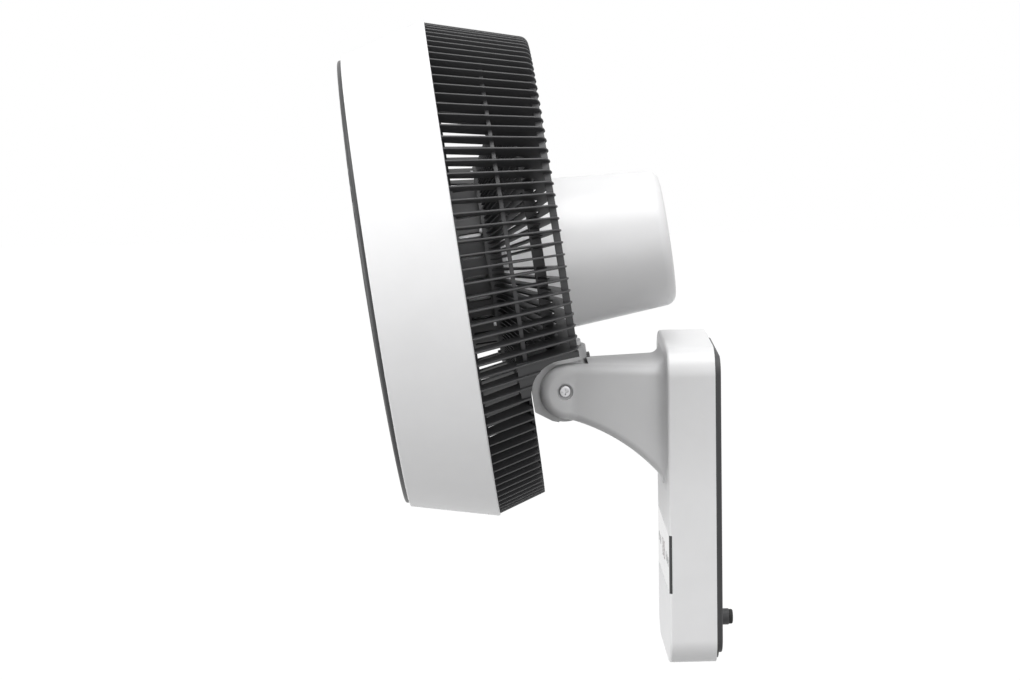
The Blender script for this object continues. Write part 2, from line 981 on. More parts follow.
@dataclass
class Shroud:
    """The white cone round the impeller."""

    station: Station
    front_radius: float = 163.6
    rear_radius: float = 180.2
    length: float = 62.7
    wall: float = 2.5
    ledge_depth: float = 6.7
    ledge_radius: float = 157.5
    front_rounding: float = 1.2
    rear_rounding: float = 0.9
    shelf_rounding: float = 0.6
    segments: int = 256

    def inner_radius(self, along: float) -> float:
        """Returns the wall's inner radius at a depth."""
        slope = (self.rear_radius - self.front_radius) / self.length
        return self.rear_radius - self.wall + along * slope

    def build(self) -> None:
        """Makes the shroud."""
        ledge = -self.length + self.ledge_depth
        shelf = ledge + self.wall
        profile = rounded([
            (self.front_radius, -self.length, self.front_rounding),
            (self.rear_radius, 0, self.rear_rounding),
            (self.inner_radius(0), 0, self.rear_rounding),
            (self.inner_radius(shelf), shelf, 0.8),
            (self.ledge_radius, shelf, self.shelf_rounding),
            (self.ledge_radius, ledge, self.shelf_rounding),
            (self.inner_radius(ledge), ledge, 0.3),
            (self.inner_radius(-self.length), -self.length, self.front_rounding * 0.8),
        ])
        shroud = Shape(self.station).lathe(profile, self.segments).build("shroud_shell")
        fitted(shroud, WHITE, Body.HEAD, "shroud")


@dataclass
class FrontGrille:
    """The domed charcoal grille: a rim, hoops, a hub with its cap, and spiral ribs."""

    station: Station
    front: float = -62.7
    rim_inner: float = 156.0
    rim_outer: float = 160.8
    stand_out: float = 3.0
    dome: float = 3.2
    seat: float = 6.7
    hub_radius: float = 34.0
    rib_count: int = 60
    rib_width: float = 1.8
    rib_height: float = 4.2
    rib_shoulder: float = 0.5
    rib_nose: float = 0.55
    overlap: float = 2.0
    sweep: float = math.radians(46.0)
    bulge: float = 0.62
    hoops: tuple[float, ...] = (62.0, 94.0, 126.0)
    hoop_width: float = 2.0
    hoop_setback: float = 0.4
    hoop_rounding: float = 0.5
    rim_rounding: float = 1.6
    hub_rise: float = 0.8
    hub_rounding: float = 1.2
    cap_radius: float = 24.0
    cap_rise: float = 1.6
    cap_shoulder: float = 0.9
    cap_rounding: float = 4.0
    steps: int = 22

    def face(self, radius: float) -> float:
        """Returns the depth of the dome's face at a radius."""
        return self.front - self.stand_out - self.dome * (1 - (radius / self.rim_outer) ** 4)

    def course(self) -> list[Vector]:
        """Draws one spiral rib's middle line, a smooth curve through three points.

        Returns:
            Points along it, from the hub to the rim.
        """
        half = (self.hub_radius + self.rim_inner) / 2
        places = ((self.hub_radius - self.overlap, 0.0), (half, self.sweep * self.bulge),
                  (self.rim_inner + self.overlap, self.sweep))
        start, middle, end = (Vector((radius * math.cos(angle), radius * math.sin(angle)))
                              for radius, angle in places)
        shares = [step / self.steps for step in range(self.steps + 1)]
        return [start * ((1 - s) * (1 - 2 * s)) + middle * (4 * s * (1 - s))
                + end * (s * (2 * s - 1)) for s in shares]

    def rib(self) -> Piece:
        """Makes one spiral rib, with a rounded front edge.

        Returns:
            The rib.
        """
        course = self.course()
        half = self.rib_width / 2
        nose = half * self.rib_nose
        section = [(-half, self.rib_height), (-half, self.rib_shoulder), (-nose, 0.0),
                   (nose, 0.0), (half, self.rib_shoulder), (half, self.rib_height)]
        loops = []
        for index, middle in enumerate(course):
            ahead = course[min(index + 1, self.steps)] - course[max(index - 1, 0)]
            across = Vector((-ahead.y, ahead.x)).normalized()
            face = self.face(middle.length)
            spots = [(middle + across * offset, depth) for offset, depth in section]
            loops.append([(spot.y, spot.x, face + depth) for spot, depth in spots])
        return Shape(self.station).loft(loops).build("grille_rib", weighted=False)

    def ring(self, inner: float, outer: float, depth: float, rounding: float) -> Piece:
        """Makes a ring whose front follows the dome.

        Args:
            inner: its inner radius.
            outer: its outer radius.
            depth: how deep it is.
            rounding: the radius of its front edges.

        Returns:
            The ring.
        """
        near, far = self.face(inner), self.face(outer)
        profile = rounded([(inner, near, rounding), (outer, far, rounding),
                           (outer, far + depth, 0), (inner, near + depth, 0)], 3)
        return Shape(self.station).lathe(profile).build("grille_ring", weighted=False)

    def build(self) -> None:
        """Makes the grille and its cap."""
        ribs = polar_array().repeat(self.rib(), self.station, self.rib_count, CHARCOAL)
        half = self.hoop_width / 2
        depth = self.rib_height - self.hoop_setback
        rings = [self.ring(hoop - half, hoop + half, depth, self.hoop_rounding)
                 for hoop in self.hoops]
        rim = self.ring(self.rim_inner, self.rim_outer, self.stand_out + self.seat,
                        self.rim_rounding)
        top = self.face(0) - self.hub_rise
        rear = self.face(0) + self.rib_height
        hub = Shape(self.station).lathe(rounded([
            (0, top, 0),
            (self.hub_radius, self.face(self.hub_radius) - self.hub_rise, self.hub_rounding),
            (self.hub_radius, rear, 0),
            (0, rear, 0),
        ], closed=False)).build("grille_hub", weighted=False)
        parts = [ribs, *rings, rim, hub]
        fitted(joined("front_grille_ribs", parts), CHARCOAL, Body.HEAD, "front_grille")
        cap = Shape(self.station).lathe(rounded([
            (0, top - self.cap_rise, 0),
            (self.cap_radius * self.cap_shoulder, top - self.cap_rise * self.cap_shoulder,
             self.cap_rounding),
            (self.cap_radius, top, 0.3),
            (0, top + 0.2, 0),
        ], closed=False)).build("grille_cap_disc")
        fitted(cap, CHARCOAL, Body.HEAD, "grille_cap")


@dataclass
class RearCage:
    """The charcoal cage: ribs that run along the side and down the dished back, on rings."""

    station: Station
    pivot: Station
    front_radius: float = 178.4
    taper: float = math.radians(16.9)
    depth: float = 71.0
    rib_count: int = 116
    rib_thickness: float = 1.5
    rib_height: float = 8.0
    edge_rounding: float = 0.4
    tip_width: float = 5.0
    tip_rounding: float = 0.5
    corner_rounding: float = 6.5
    inner_corner: Point = (1.1, 1.3, 6.0)
    sunk: float = 1.0
    dish_depth: float = 42.6
    hub_inner: float = 61.0
    hub_outer: float = 71.0
    hub_length: float = 11.0
    plate_front: float = 29.0
    setback: float = 4.4
    ring_width: float = 3.0
    ring_rounding: float = 0.4
    corner_ring_width: float = 5.0
    mid_ring: float = 33.3
    corner_ring: float = 67.3
    dish_ring: float = 127.0
    dish_ring_length: float = 9.0
    mouth_inner: float = 167.0
    mouth_outer: float = 174.8
    mouth_length: float = 10.0
    mouth_rear: float = 0.4
    recess_front: float = 25.3
    recess_ceiling: float = 45.6
    recess_fillet: float = 22.0
    liner: float = 4.0
    liner_inset: float = 1.5
    liner_setback: float = 0.6
    guard_height: float = 7.0
    sweep_radius: float = 27.8
    sweep_top: float = 23.3

    def __post_init__(self) -> None:
        """Works out the pivot's place from the axis, the ribs' corner and their pitch."""
        apart = (self.pivot.origin - self.station.origin) / MM
        self.behind = apart.dot(self.station.along)
        self.below = -apart.dot(self.station.up)
        self.corner = self.side_radius(self.depth)
        self.pitch = 2 * math.pi / self.rib_count

    def side_radius(self, along: float) -> float:
        """Returns the side ribs' outer radius at a depth."""
        return self.front_radius - along * math.tan(self.taper)

    def dish(self, radius: float) -> float:
        """Returns the depth of the dished back at a radius."""
        share = (radius - self.hub_outer) / (self.corner - self.tip_width - self.hub_outer)
        return self.depth - self.dish_depth * (1 - share)

    def plate(self, station: Station, profile: Outline) -> Piece:
        """Makes a thin plate in a plane through the axis, with drawn-in edges.

        Args:
            station: the axis, with up in the plate's plane.
            profile: its outline as (radius, along).

        Returns:
            The plate.
        """
        half = self.rib_thickness / 2
        shape = Shape(station).prism(profile, -half, half, lambda r, d, h: (h, r, d),
                                     self.edge_rounding)
        return shape.build("cage_plate", crease=50, weighted=False)

    def rib(self) -> Piece:
        """Makes one full rib, half a pitch away from the top.

        Returns:
            The rib.
        """
        low = self.hub_outer - self.sunk
        inwards, forwards, rounding = self.inner_corner
        return self.plate(self.station.turned(self.pitch / 2), rounded([
            (self.front_radius, 0, 0),
            (self.corner, self.depth, self.corner_rounding),
            (self.corner - self.tip_width, self.depth, self.tip_rounding),
            (low, self.dish(low), 0),
            (low, self.dish(low) - self.rib_height, 0),
            (self.corner - inwards * self.rib_height, self.depth - forwards * self.rib_height,
             rounding),
            (self.front_radius - self.rib_height, 0, 0),
        ]))

    def rings(self) -> list[Piece]:
        """Makes the rings that carry the ribs.

        Returns:
            The mouth ring, the two side rings, the dish ring and the hub ring.
        """
        mid = self.side_radius(self.mid_ring) - self.setback
        last = self.side_radius(self.corner_ring) - self.setback
        half = self.ring_width / 2
        wide = self.corner_ring_width / 2
        dish = self.dish(self.dish_ring)
        sizes = (
            (self.mouth_inner, self.mouth_outer, -self.mouth_length, self.mouth_rear),
            (mid - self.ring_width, mid, self.mid_ring - half, self.mid_ring + half),
            (last - self.ring_width, last, self.corner_ring - wide, self.corner_ring + wide),
            (self.dish_ring - half, self.dish_ring + half, dish - self.dish_ring_length,
             dish - self.sunk),
            (self.hub_inner, self.hub_outer, self.plate_front - self.hub_length, self.plate_front),
        )
        made = []
        for inner, outer, front, rear in sizes:
            corners = ((inner, front), (outer, front), (outer, rear), (inner, rear))
            profile = rounded([(*corner, self.ring_rounding) for corner in corners], 2)
            made.append(Shape(self.station).lathe(profile).build("cage_ring", weighted=False))
        return made

    def across(self, name: str, outline: Outline, reach: float = 200.0) -> Piece:
        """Returns a prism along X over an outline of (along, up) at the pivot."""
        shape = Shape(self.pivot).prism(outline, -reach, reach, lambda u, v, h: (h, v, u))
        return shape.build(name, weighted=False)

    def recess(self) -> Piece:
        """Makes the space that the arm and the knuckle need under the head.

        Returns:
            The space as a cutting tool.
        """
        wall, ceiling, reach = -self.recess_front, self.recess_ceiling, 200.0
        return self.across("cage_recess", rounded([
            (wall, -reach, 0), (wall, ceiling, self.recess_fillet),
            (reach, ceiling, 0), (reach, -reach, 0)], 10), reach + 10)

    def guard(self) -> Piece:
        """Makes the short ribs on the recess's front wall, in line with the full ones.

        Returns:
            The ribs as one piece.
        """
        rear = self.behind - self.recess_front
        front = rear - self.guard_height
        low, rim = self.hub_outer + self.sunk, self.side_radius(rear)
        half_angle = math.acos((self.below - self.recess_ceiling) / rim)
        steps = int(half_angle / self.pitch - 0.5)
        profile = [(rim, rear), (low, rear), (low, front), (rim - self.rib_height, front)]
        first = self.plate(self.station.turned(math.pi - (steps + 0.5) * self.pitch), profile)
        count = 2 * steps + 2
        ribs = polar_array().repeat(first, self.station, count, CHARCOAL, count * self.pitch)
        wall = -self.recess_front + self.guard_height
        far = wall - 3 * self.guard_height
        top = self.recess_ceiling + self.liner / 2
        keep = [(far, -self.front_radius), (wall, -self.front_radius), (wall, top), (far, top)]
        return carved(ribs, self.across("guard_room", keep), keep_inside=True)

    def lining(self) -> Piece:
        """Makes the lining of the recess's ceiling and of its rounded front corner.

        Returns:
            The lining, cut to the cage's envelope.
        """
        wall, ceiling = -self.recess_front, self.recess_ceiling
        front = wall - self.guard_height
        top, start = ceiling + self.liner, ceiling - self.recess_fillet
        lining = self.across("cage_lining", rounded([
            (front, start, 0), (front, top, 0), (self.depth, top, 0), (self.depth, ceiling, 0),
            (wall, ceiling, self.recess_fillet), (wall, start, 0)], 10))
        rear = self.depth - self.liner_setback
        envelope = Shape(self.station).lathe([
            (self.hub_outer, 0),
            (self.front_radius - self.liner_inset, 0),
            (self.corner - self.liner_inset, rear),
            (self.corner - self.tip_width - self.liner_inset, rear),
            (self.hub_outer, self.depth - self.dish_depth),
        ]).build("cage_envelope", weighted=False)
        return carved(lining, envelope, keep_inside=True)

    def sweep_room(self) -> Piece:
        """Makes the round room that the knuckle's corners need as the head swings.

        Returns:
            The room as a cutting tool.
        """
        upright = Station(self.pivot.origin, self.pivot.along, self.pivot.up)
        floor = -self.front_radius
        return Shape(upright).lathe([
            (0, floor), (self.sweep_radius, floor), (self.sweep_radius, self.sweep_top),
            (0, self.sweep_top)], 96).build("sweep_room", weighted=False)

    def build(self) -> None:
        """Makes the cage."""
        ribs = polar_array().repeat(self.rib(), self.station, self.rib_count, CHARCOAL)
        ribs = carved(ribs, self.recess())
        rings = [carved(ring, self.recess()) for ring in self.rings()]
        walls = [carved(wall, self.sweep_room()) for wall in (ribs, self.guard(), self.lining())]
        cage = joined("rear_cage_ribs", [*rings, *walls], 50)
        fitted(cage, CHARCOAL, Body.HEAD, "rear_cage")


@dataclass
class MotorHousing:
    """The white tapered cover behind the cage, with a notch for the neck."""

    station: Station
    pivot: Station
    front: float = 32.0
    end: float = 148.9
    front_radius: float = 57.4
    rear_radius: float = 48.3
    wall: float = 2.2
    rounding: float = 8.0
    notch_half: float = 13.3
    notch_rounding: float = 0.99
    notch_bottom: float = 29.6
    notch_top: float = 53.1

    def radius(self, along: float) -> float:
        """Returns the outer radius at a depth."""
        share = (along - self.front) / (self.end - self.front)
        return self.front_radius + share * (self.rear_radius - self.front_radius)

    def build(self) -> None:
        """Makes the housing."""
        inner_end = self.end - self.wall
        profile = rounded([
            (self.front_radius - self.wall, self.front, 0.4), (self.front_radius, self.front, 0.8),
            (self.rear_radius, self.end, self.rounding), (0, self.end, 0), (0, inner_end, 0),
            (self.radius(inner_end) - self.wall, inner_end, self.rounding - self.wall)], 10)
        housing = Shape(self.station).lathe(profile).build("motor_housing_shell", weighted=False)
        half = self.notch_half
        arch = half * self.notch_rounding
        outline = rounded([(-half, -3 * half, 0), (half, -3 * half, 0), (half, half, arch),
                           (-half, half, arch)], 12)
        notch = Shape(self.pivot).prism(outline, self.notch_bottom, self.notch_top,
                                        lambda x, u, h: (x, h, u))
        housing = carved(housing, notch.build("neck_notch", weighted=False))
        fitted(joined("motor_housing_skin", [housing]), WHITE, Body.HEAD, "motor_housing")


@dataclass
class MotorCover:
    """The charcoal cup in front of the motor, with cooling slots round its side."""

    station: Station
    radius: float = 59.5
    front: float = -7.0
    rear: float = 29.0
    wall: float = 2.2
    rounding: float = 4.0
    edge_rounding: float = 0.5
    hole: float = 14.0
    slot_count: int = 24
    slot_start: float = 8.0
    slot_length: float = 16.0
    slot_width: float = 3.2
    slot_rounding: float = 0.48

    def build(self) -> None:
        """Makes the cover."""
        inner, edge = self.radius - self.wall, self.edge_rounding
        shelf = self.front + self.wall
        cup = Shape(self.station).lathe(rounded([
            (self.hole, self.front, edge), (self.radius, self.front, self.rounding),
            (self.radius, self.rear, edge), (inner, self.rear, edge),
            (inner, shelf, self.rounding - self.wall), (self.hole, shelf, edge),
        ])).build("cover_cup", weighted=False)
        middle = self.front + self.slot_start + self.slot_length / 2
        outline = rounded_rectangle(self.slot_width, self.slot_length,
                                    self.slot_width * self.slot_rounding, 4)
        slot = Shape(self.station).prism(outline, inner - self.wall, self.radius + self.wall,
                                         lambda x, u, h: (x, h, middle + u))
        slots = polar_array().repeat(slot.build("cover_slots", weighted=False), self.station,
                                     self.slot_count, CHARCOAL)
        cover = joined("motor_cover_cup", [carved(cup, slots)])
        fitted(cover, CHARCOAL, Body.HEAD, "motor_front_cover")


@dataclass
class Impeller:
    """The charcoal impeller: a cup-shaped hub and seven twisted, cambered blades."""

    station: Station
    hub_radius: float = 46.0
    front: float = -55.0
    rear: float = -9.0
    nose_rounding: float = 9.0
    inner_rounding: float = 7.0
    rim_rounding: float = 0.8
    wall: float = 2.5
    boss_radius: float = 9.0
    boss_rear: float = -24.0
    bore: float = 4.1
    tip_radius: float = 148.0
    blade_count: int = 7
    blade_thickness: float = 2.4
    camber: float = 0.055
    skew: float = math.radians(13.0)
    chords: tuple[float, ...] = (46.0, 68.0, 78.0)
    angles: tuple[float, ...] = (46.0, 58.0, 66.0)
    knot: float = 0.47
    root_sunk: float = 3.0
    tip_rounding: float = 16.0
    tip_chord: float = 0.62
    tip_thickness: float = 0.35
    fullness: float = 0.42
    rows: int = 14
    half_points: int = 9

    def between(self, values: tuple[float, ...], share: float) -> float:
        """Reads the smooth curve through a value at the root, the knot and the tip.

        Args:
            values: the three values.
            share: how far out, from 0 to 1.

        Returns:
            The value there.
        """
        root, middle, tip = values
        knot = self.knot
        return (root * (share - knot) * (share - 1) / knot
                + middle * share * (share - 1) / (knot * (knot - 1))
                + tip * share * (share - knot) / (1 - knot))

    def section(self, share: float) -> list[Point]:
        """Returns a blade's aerofoil section, wrapped round the axis.

        Args:
            share: how far out it lies, from 0 at the root to 1 at the tip.

        Returns:
            The section's points as (side, up, along).
        """
        root = self.hub_radius - self.root_sunk
        radius = root + (self.tip_radius - root) * share
        to_tip = min(1.0, (self.tip_radius - radius) / self.tip_rounding)
        shrink = self.tip_chord + (1 - self.tip_chord) * math.sqrt(1 - (1 - to_tip) ** 2)
        chord = self.between(self.chords, share) * shrink
        angle = math.radians(self.between(self.angles, share))
        cosine, sine = math.cos(angle), math.sin(angle)
        thick = self.blade_thickness * (self.tip_thickness + (1 - self.tip_thickness) * to_tip)
        points = []
        for side, order in ((1, range(self.half_points)), (-1, range(self.half_points, 0, -1))):
            for step in order:
                place = 0.5 - 0.5 * math.cos(math.pi * step / self.half_points)
                fat = thick * (4 * place * (1 - place)) ** self.fullness / 2
                lift = self.camber * chord * 4 * place * (1 - place) + side * fat
                run = (place - 0.5) * chord
                along = (self.front + self.rear) / 2 + run * cosine + lift * sine
                turn = (-run * sine + lift * cosine) / radius - self.skew * share ** 2
                points.append((radius * math.sin(turn), radius * math.cos(turn), along))
        return points

    def blade(self) -> Piece:
        """Returns one blade, lofted through its sections, which lie closer near the tip."""
        loops = [self.section(math.sin(row / self.rows * math.pi / 2))
                 for row in range(self.rows + 1)]
        return Shape(self.station).loft(loops).build("impeller_blade", crease=60, weighted=False)

    def build(self) -> None:
        """Makes the impeller."""
        inner = self.hub_radius - self.wall
        shelf = self.front + self.wall
        hub = Shape(self.station).lathe(rounded([
            (self.bore, self.front, 0.4),
            (self.hub_radius, self.front, self.nose_rounding),
            (self.hub_radius, self.rear, self.rim_rounding),
            (inner, self.rear, self.rim_rounding),
            (inner, shelf, self.inner_rounding),
            (self.boss_radius, shelf, 1.0),
            (self.boss_radius, self.boss_rear, 0.6),
            (self.bore, self.boss_rear, 0),
        ]), 96).build("impeller_hub", weighted=False)
        blades = polar_array().repeat(self.blade(), self.station, self.blade_count, CHARCOAL)
        fitted(joined("impeller_blades", [hub, blades], 50), CHARCOAL, Body.ROTOR, "impeller")


# ---------------------------------------------------------------- wall side


@dataclass
class ArmFlare:
    """The concave flare that leads the arm's skin into the wall box's front."""

    station: Station
    reach: float = 71.3
    top: float = 19.2
    nose_half: float = 21.0
    root_half: float = 36.0
    taper_start: float = 9.0
    corner: float = 7.0
    lower: tuple[tuple[float, float], ...] = ((2.5, -21.3), (38.0, -36.0), (71.3, -65.2))
    radius: float = 7.0
    sink: float = 0.6
    steps: int = 9

    def bottom(self, along: float) -> float:
        """Follows the arm's underside, an arc through three points.

        Args:
            along: distance from the pivot.

        Returns:
            The underside's height there.
        """
        (ax, ay), (bx, by), (cx, cy) = self.lower
        twice = 2 * (ax * (by - cy) + bx * (cy - ay) + cx * (ay - by))
        a, b, c = ax * ax + ay * ay, bx * bx + by * by, cx * cx + cy * cy
        middle_x = (a * (by - cy) + b * (cy - ay) + c * (ay - by)) / twice
        middle_y = (a * (cx - bx) + b * (ax - cx) + c * (bx - ax)) / twice
        radius = math.hypot(ax - middle_x, ay - middle_y)
        return middle_y + math.sqrt(max(0.0, radius ** 2 - (along - middle_x) ** 2))

    def section(self, along: float, growth: float) -> list[Point]:
        """Draws the arm's section.

        Args:
            along: its distance from the pivot.
            growth: how far it is grown outwards.

        Returns:
            The section's points as (side, up, along).
        """
        share = (along - self.taper_start) / (self.reach - self.taper_start)
        half = self.nose_half + share * (self.root_half - self.nose_half) + growth
        high = self.top + growth
        low = self.bottom(along) - growth
        outline = rounded_rectangle(2 * half, high - low, self.corner + growth, 8)
        return [(x, z + (high + low) / 2, along) for x, z in outline]

    def build(self) -> None:
        """Makes the flare as a closed ring, whose inside lies within the arm's wall."""
        start = self.reach - self.radius
        loops = [self.section(start, -self.sink)]
        for step in range(self.steps + 1):
            turn = math.pi / 2 * step / self.steps
            loops.append(self.section(start + self.radius * math.sin(turn),
                                      self.radius * (1 - math.cos(turn))))
        loops.append(self.section(self.reach, -self.sink))
        shape = Shape(self.station).loft(loops + loops[:1], capped=False)
        fitted(shape.build("arm_root_flare", crease=60), ARM_WHITE, Body.WALL)


@dataclass
class ControlMarks:
    """Thin inlays on the black band: two unlit figures and five generic touch marks."""

    station: Station
    band_height: float = -39.7
    face: float = -38.7
    proud: float = 0.06
    sunk: float = 0.2
    bar: float = 0.9
    bar_gap: float = 0.5
    digit_width: float = 7.0
    digit_height: float = 12.0
    digit_places: tuple[float, ...] = (-6.5, 6.5)
    key_places: tuple[float, ...] = (-44.0, -30.0, 26.0, 36.0, 46.0)
    key_radius: float = 3.6
    key_line: float = 0.28
    mark_line: float = 0.4
    level: float = 1.571
    key_marks: tuple[tuple[tuple[float, float, float, float], ...], ...] = (
        ((0.0, 1.0, 2.6, 0.0),),
        ((0.0, 0.0, 3.4, 0.6), (0.0, 0.0, 3.4, -0.6)),
        ((0.0, 0.0, 3.6, level),),
        ((0.0, 0.0, 3.6, level), (0.0, 0.0, 3.6, 0.0)),
        ((0.0, 0.8, 1.9, 0.0), (0.8, 0.0, 1.9, level)),
    )

    def stroke(self, shape: Shape, x: float, z: float, length: float, turn: float,
               width: float) -> None:
        """Adds one bar with pointed ends.

        Args:
            shape: what it is added to.
            x: its middle's place across the band.
            z: its middle's height.
            length: its length.
            turn: how far it is turned from upright.
            width: its width.
        """
        half, side = length / 2, width / 2
        outline = [(0, half), (side, half - side), (side, side - half), (0, -half),
                   (-side, side - half), (-side, half - side)]
        cosine, sine = math.cos(turn), math.sin(turn)
        turned = [(x + a * cosine + b * sine, z + b * cosine - a * sine) for a, b in outline]
        shape.prism(turned, self.face + self.sunk, self.face - self.proud,
                    lambda a, b, h: (a, b, h))

    def figures(self) -> Piece:
        """Makes the bars of two seven-bar figures.

        Returns:
            The bars as one piece.
        """
        shape = Shape(self.station)
        half_w, half_h = self.digit_width / 2, self.digit_height / 4
        tall = self.digit_height / 2 - self.bar_gap
        wide = self.digit_width - self.bar_gap
        for middle in self.digit_places:
            for side in (-1, 1):
                for row in (-1, 1):
                    self.stroke(shape, middle + side * half_w, self.band_height + row * half_h,
                                tall, 0.0, self.bar)
            for row in (-2, 0, 2):
                self.stroke(shape, middle, self.band_height + row * half_h, wide, math.pi / 2,
                            self.bar)
        return shape.build("display_bars", weighted=False)

    def keys(self) -> Piece:
        """Makes a ring for each touch key, with a plain mark in it.

        Returns:
            The rings and marks as one piece.
        """
        spots = [self.station.at(x, self.band_height, 0) for x in self.key_places]
        inner, outer = self.key_radius - self.key_line, self.key_radius
        low, high = self.face + self.sunk, self.face - self.proud
        ring = Shape(self.station.moved_to(Vector((0, 0, 0)))).lathe(
            [(inner, low), (outer, low), (outer, high), (inner, high)], 48)
        rings = point_array().scatter(ring.build("key_rings", weighted=False), spots, MARK)
        strokes = Shape(self.station)
        for place, bars in zip(self.key_places, self.key_marks):
            for x, z, length, turn in bars:
                self.stroke(strokes, place + x, self.band_height + z, length, turn, self.mark_line)
        return joined("touch_key_marks", [rings, strokes.build("key_strokes", weighted=False)])

    def build(self) -> None:
        """Makes the inlays."""
        fitted(self.figures(), DISPLAY, Body.WALL)
        fitted(self.keys(), MARK, Body.WALL)


@dataclass
class CordInlet:
    """The gland and the grommet that a lead would enter by, low on the back plate."""

    station: Station
    height: float = -92.0
    plate: float = 4.6
    flange_radius: float = 9.0
    flange: float = 2.0
    gland_radius: float = 6.0
    gland_wall: float = 1.4
    gland_end: float = 8.6
    grommet_radius: float = 5.4
    grommet_end: float = 11.4
    hole: float = 3.2

    def build(self) -> None:
        """Makes both pieces on an axis through the plate."""
        place = self.station.moved_to(self.station.at(0, self.height, 0))
        bore = self.gland_radius - self.gland_wall
        front = -self.plate - self.flange
        gland = Shape(place).lathe(rounded([
            (bore, front, 0.3), (self.flange_radius, front, 0.6),
            (self.flange_radius, -self.plate, 0.2), (self.gland_radius, -self.plate, 0),
            (self.gland_radius, self.gland_end, 0.7), (bore, self.gland_end, 0.3),
        ]), 64).build("gland_sleeve")
        fitted(gland, PLATE, Body.WALL, "cord_gland")
        grommet = Shape(place).lathe(rounded([
            (self.hole, -self.plate, 0.3), (bore, -self.plate, 0), (bore, self.gland_end, 0),
            (self.grommet_radius, self.gland_end, 0.3),
            (self.grommet_radius, self.grommet_end, 1.2), (self.hole, self.grommet_end, 0.6),
        ]), 64).build("grommet_sleeve")
        fitted(grommet, RUBBER, Body.WALL, "cord_grommet")


@dataclass
class BackScrews:
    """The pan-head screws that hold the back plate, with a cross recess in each."""

    station: Station
    spacing_x: float = 90.0
    spacing_z: float = 110.0
    seat: float = -2.0
    radius: float = 1.5
    length: float = 10.0
    head_radius: float = 2.9
    head_height: float = 1.7
    slot: float = 0.7
    slot_length: float = 3.4
    slot_depth: float = 1.1

    def build(self) -> None:
        """Makes one screw and scatters it over the corners."""
        centre = self.station.moved_to(Vector((0, 0, 0)))
        top = self.seat + self.head_height
        tip = self.seat - self.length
        screw = Shape(centre).lathe(rounded([
            (0, tip, 0), (self.radius * 0.6, tip, 0), (self.radius, tip + self.radius, 0),
            (self.radius, self.seat, 0), (self.head_radius, self.seat, 0.2),
            (self.head_radius, top, 0.9), (0, top, 0)], 4, closed=False), 32)
        piece = screw.build("plate_screw", weighted=False)
        for width, height in ((self.slot, self.slot_length), (self.slot_length, self.slot)):
            cutter = Shape(centre).prism(rounded_rectangle(width, height, 0.15, 2),
                                         top - self.slot_depth, top + 1,
                                         lambda x, z, h: (x, z, h))
            carved(piece, cutter.build("cross_recess", weighted=False))
        spots = [self.station.at(x * self.spacing_x / 2, z * self.spacing_z / 2, 0)
                 for x in (-1, 1) for z in (-1, 1)]
        screws = joined("back_plate_screw_heads", [point_array().scatter(piece, spots, STEEL)])
        fitted(screws, STEEL, Body.WALL, "back_plate_screws")


SKINS = (
    ("arm", ARM_WHITE, Body.WALL, 0.3),
    ("wall_housing", WHITE, Body.WALL, 0.3),
    ("back_plate", PLATE, Body.WALL, 0.3),
    ("control_panel", BAND, Body.WALL, 0.25),
    ("pivot_bolt", STEEL, Body.WALL, 0.12),
    ("pivot_nut", STEEL, Body.WALL, 0.3),
    ("knuckle_upper", GREY, Body.KNUCKLE, 0.35),
    ("knuckle_lower", GREY, Body.KNUCKLE, 0.35),
    ("tilt_stop", GREY_RUBBER, Body.KNUCKLE, 0.3),
    ("neck_bracket", CAST, Body.HEAD, 0.4),
    ("yaw_motor", STEEL, Body.HEAD, 0.2),
    ("motor_plate", CAST, Body.HEAD, 0.25),
    ("spinner_nut", CHARCOAL, Body.ROTOR, 0.3),
    ("rotor_bell", STEEL, Body.ROTOR, 0.25),
)


# ---------------------------------------------------------------- studio


@dataclass(frozen=True)
class Lamp:
    """A square soft lamp, with its place and size in metres and its power in watts."""

    name: str
    place: Point
    size: float
    power: float

    def light(self, aim: Point) -> None:
        """Adds the lamp to the scene.

        Args:
            aim: the point that it is aimed at.
        """
        data = bpy.data.lights.new(self.name, "AREA")
        data.size = self.size
        data.energy = self.power
        lamp = bpy.data.objects.new(self.name, data)
        bpy.context.scene.collection.objects.link(lamp)
        lamp.location = self.place
        aimed = (Vector(aim) - Vector(self.place)).to_track_quat("-Z", "Y")
        lamp.rotation_euler = aimed.to_euler()


